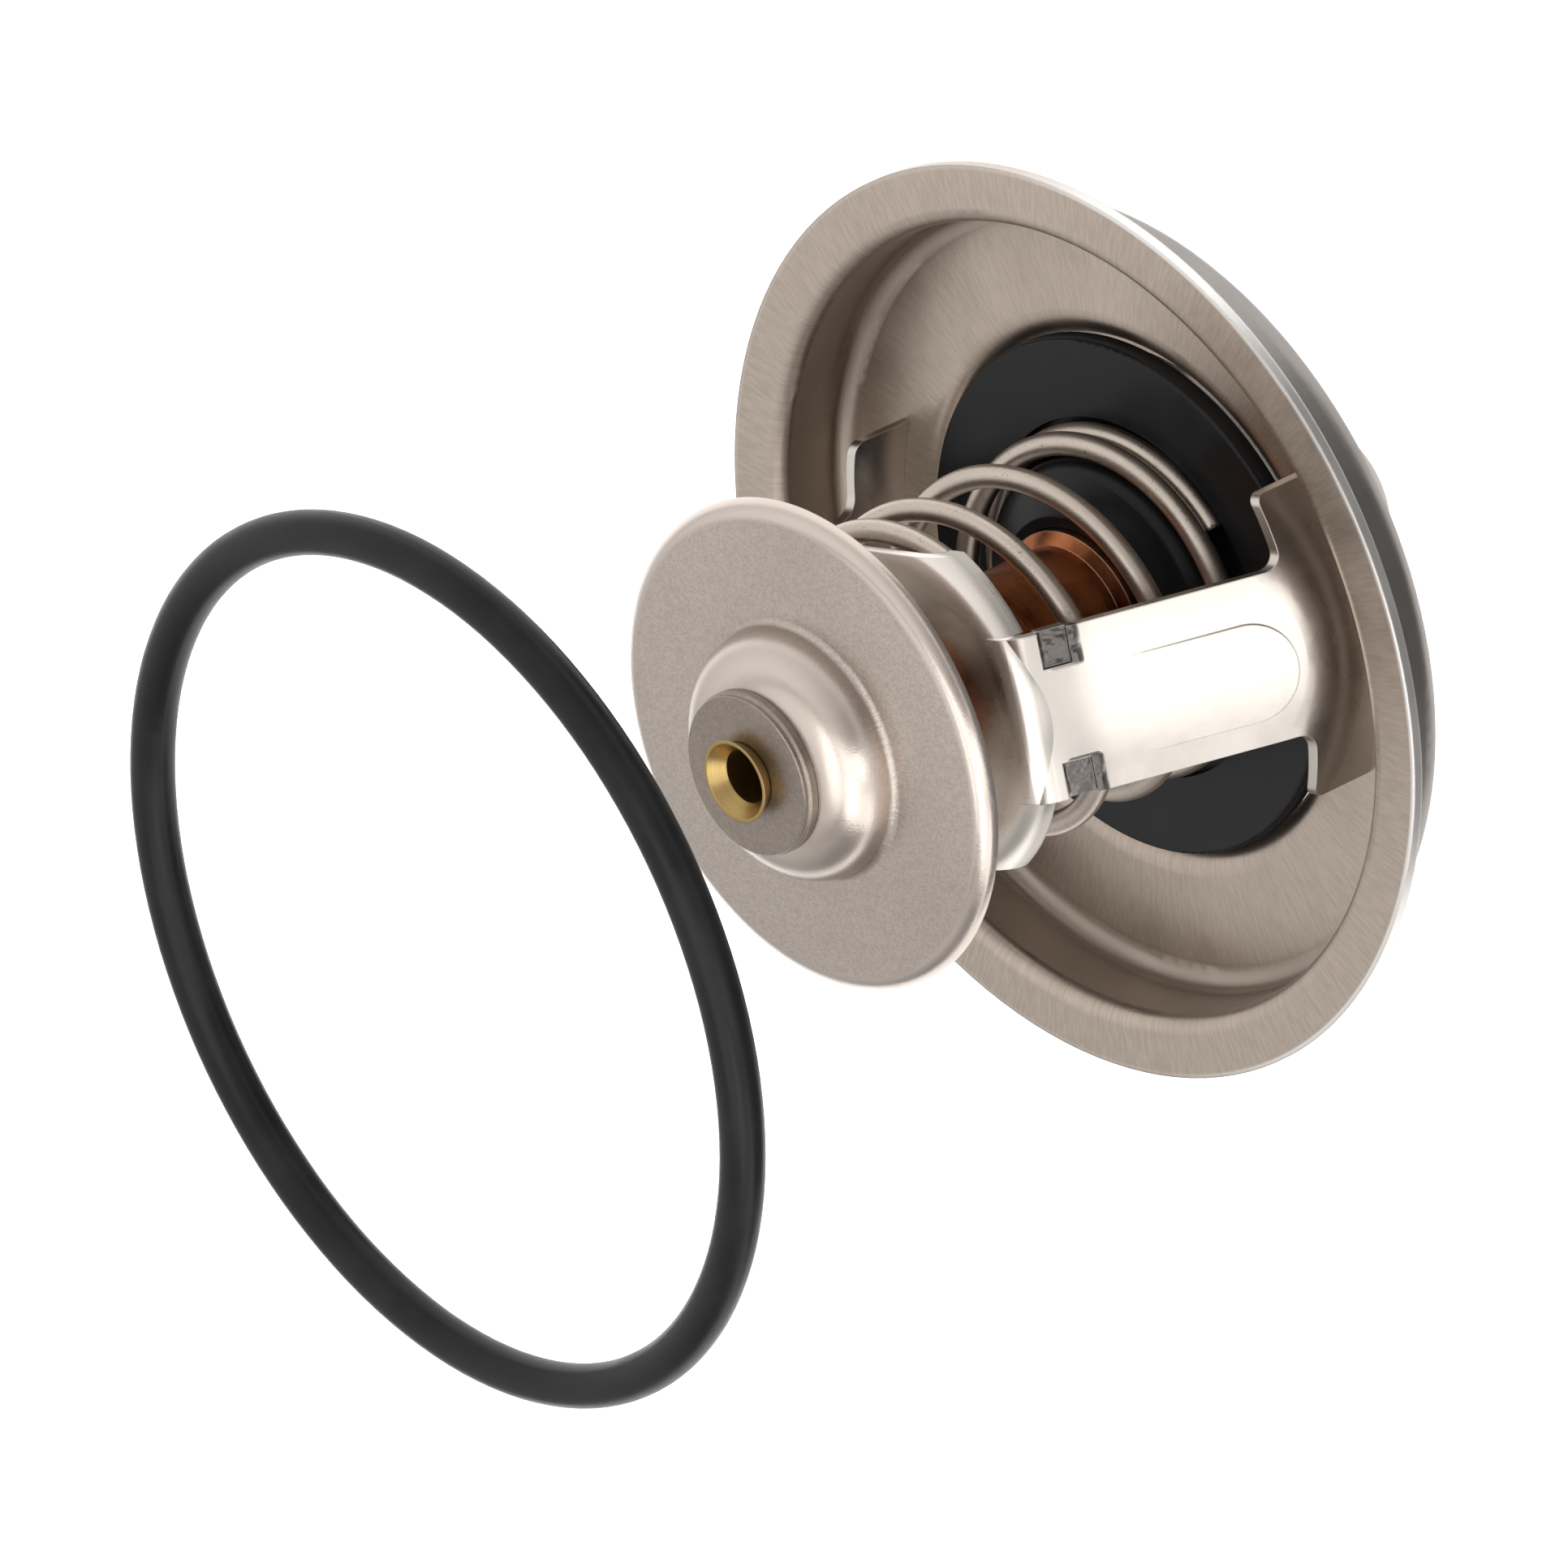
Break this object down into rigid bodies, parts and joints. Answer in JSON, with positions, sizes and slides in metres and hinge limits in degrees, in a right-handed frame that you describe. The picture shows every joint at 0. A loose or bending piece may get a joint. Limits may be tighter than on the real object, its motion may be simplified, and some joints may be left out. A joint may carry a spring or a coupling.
{
  "type": "engine thermostat",
  "caption": "Engine coolant thermostat with a round dished flange, a sprung rubber-faced main valve on a wax capsule, a sprung bypass disc and a separate sealing ring.",
  "frame": {"origin": "centre of the flange's rim face on the bypass side", "axes": "+Z along the valve axis towards the bypass disc; +X towards one leg of the lower frame; the upper bridge lies along Y"},
  "size_m": [0.067, 0.0684, 0.0895],
  "materials": {
    "flange_steel": "satin pressed stainless steel, slightly warm grey",
    "frame_steel": "bright pressed stainless steel",
    "disc_steel": "satin pressed stainless steel, slightly warm grey",
    "spring_steel": "smooth drawn wire",
    "copper": "drawn copper, tarnished dark orange brown",
    "brass": "turned brass",
    "black_rubber": "matt moulded rubber",
    "piston_steel": "ground and polished",
    "wax": "copper-filled wax",
    "hard_plastic": "white slippery plastic"
  },
  "bodies": {
    "fixed": {"mounting_flange": "flange_steel", "lower_frame": "frame_steel", "upper_bridge": "frame_steel", "piston": "piston_steel", "main_spring": "spring_steel", "sealing_ring": "black_rubber"},
    "valve_unit": {"valve_seal": "black_rubber", "valve_plate": "disc_steel", "valve_retainer": "disc_steel", "capsule_cup": "copper", "capsule_guide": "brass", "anti_extrusion_disc": "hard_plastic", "rubber_plug": "black_rubber", "diaphragm": "black_rubber", "wax_charge": "wax", "bypass_stem": "brass", "stem_washer": "disc_steel", "bypass_spring": "spring_steel"},
    "bypass": {"bypass_disc": "disc_steel"}
  },
  "joints": [
    {"name": "main_valve_lift", "type": "slide", "parent": "fixed", "child": "valve_unit", "axis": [0, 0, 1], "range_m": [0, 0.008], "stiffness_N_per_m": 3000, "springref_m": -0.002, "deforming": ["main_spring"]},
    {"name": "bypass_disc_slide", "type": "slide", "parent": "valve_unit", "child": "bypass", "axis": [0, 0, 1], "range_m": [-0.0035, 0], "stiffness_N_per_m": 500, "springref_m": 0.002, "deforming": ["bypass_spring"]}
  ]
}
